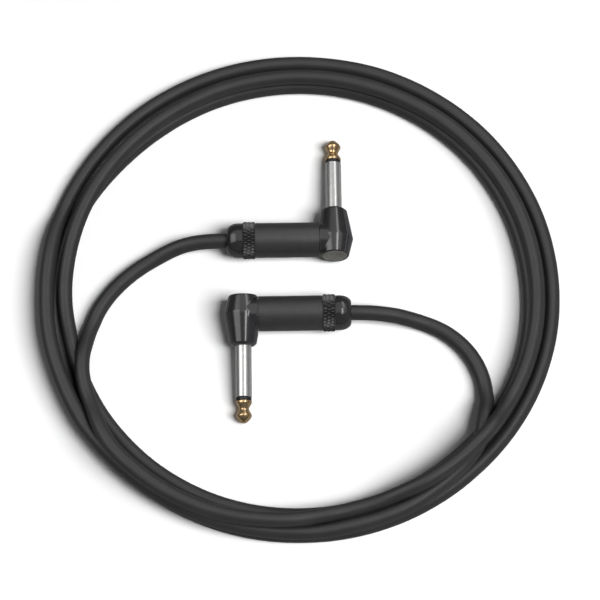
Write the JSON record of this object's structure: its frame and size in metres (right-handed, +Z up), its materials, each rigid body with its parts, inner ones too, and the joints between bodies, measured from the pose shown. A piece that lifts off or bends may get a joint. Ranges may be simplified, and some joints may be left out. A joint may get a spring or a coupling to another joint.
{
  "type": "instrument cable",
  "caption": "Shielded instrument cable in a loose ring, with a right-angle 6.35 mm mono plug on each end: gold tip, metal elbow and barrel, knurled gland nut and domed strain relief.",
  "frame": {"origin": "on the surface that the cable lies on, midway between the two plugs: the bottom centre of the box round both plugs", "axes": "+Y the way that plug A points, +X from plug A's cable end towards its elbow, +Z up from the surface"},
  "size_m": [0.2042, 0.1996, 0.0147],
  "materials": {
    "gold_plate": "polished gold plate",
    "nickel_plate": "polished nickel plate",
    "tinned_metal": "tinned, dull",
    "copper": "bare strands",
    "elbow_black": "black, semi-gloss",
    "barrel_black": "black, satin",
    "nut_black": "black, diamond knurl",
    "cap_grey": "dark grey, satin",
    "boot_black": "black, glossy",
    "insulator_black": "black, matt",
    "liner_grey": "grey fibre",
    "dielectric_white": "milky",
    "jacket_black": "black PVC jacket, satin"
  },
  "bodies": {
    "cable": {"tip_contact_a": "gold_plate", "tip_insulator_a": "insulator_black", "plug_sleeve_a": "nickel_plate", "rear_insulator_a": "insulator_black", "tip_lug_a": "tinned_metal", "ground_lug_a": "tinned_metal", "elbow_housing_a": "elbow_black", "back_cap_a": "cap_grey", "barrel_a": "barrel_black", "barrel_liner_a": "liner_grey", "cable_chuck_a": "tinned_metal", "jacket_end_a": "jacket_black", "dielectric_a": "dielectric_white", "centre_conductor_a": "copper", "shield_pigtail_a": "copper", "tip_solder_a": "tinned_metal", "ground_solder_a": "tinned_metal", "tip_contact_b": "gold_plate", "tip_insulator_b": "insulator_black", "plug_sleeve_b": "nickel_plate", "rear_insulator_b": "insulator_black", "tip_lug_b": "tinned_metal", "ground_lug_b": "tinned_metal", "elbow_housing_b": "elbow_black", "back_cap_b": "cap_grey", "barrel_b": "barrel_black", "barrel_liner_b": "liner_grey", "cable_chuck_b": "tinned_metal", "jacket_end_b": "jacket_black", "dielectric_b": "dielectric_white", "centre_conductor_b": "copper", "shield_pigtail_b": "copper", "tip_solder_b": "tinned_metal", "ground_solder_b": "tinned_metal", "cable_coil": "jacket_black", "cable_lead_a": "jacket_black", "cable_lead_b": "jacket_black"},
    "boot_a": {"strain_boot_a": "boot_black"},
    "nut_a": {"gland_nut_a": "nut_black"},
    "boot_b": {"strain_boot_b": "boot_black"},
    "nut_b": {"gland_nut_b": "nut_black"}
  },
  "joints": [
    {"name": "boot_slide_a", "type": "slide", "parent": "cable", "child": "boot_a", "axis": [-1, 0, 0], "range_m": [0, 0.0025]},
    {"name": "nut_spin_a", "type": "hinge", "parent": "boot_a", "child": "nut_a", "pos_m": [-0.0154, 0.015, 0.00735], "axis": [-1, 0, 0], "range_deg": [0, 900]},
    {"name": "boot_slide_b", "type": "slide", "parent": "cable", "child": "boot_b", "axis": [1, 0, 0], "range_m": [0, 0.0025]},
    {"name": "nut_spin_b", "type": "hinge", "parent": "boot_b", "child": "nut_b", "pos_m": [0.0154, -0.015, 0.00735], "axis": [1, 0, 0], "range_deg": [0, 900]}
  ],
  "couplings": [
    {"joint": "nut_spin_a", "follows": "boot_slide_a", "rad_per_m": 6283.2},
    {"joint": "nut_spin_b", "follows": "boot_slide_b", "rad_per_m": 6283.2}
  ]
}
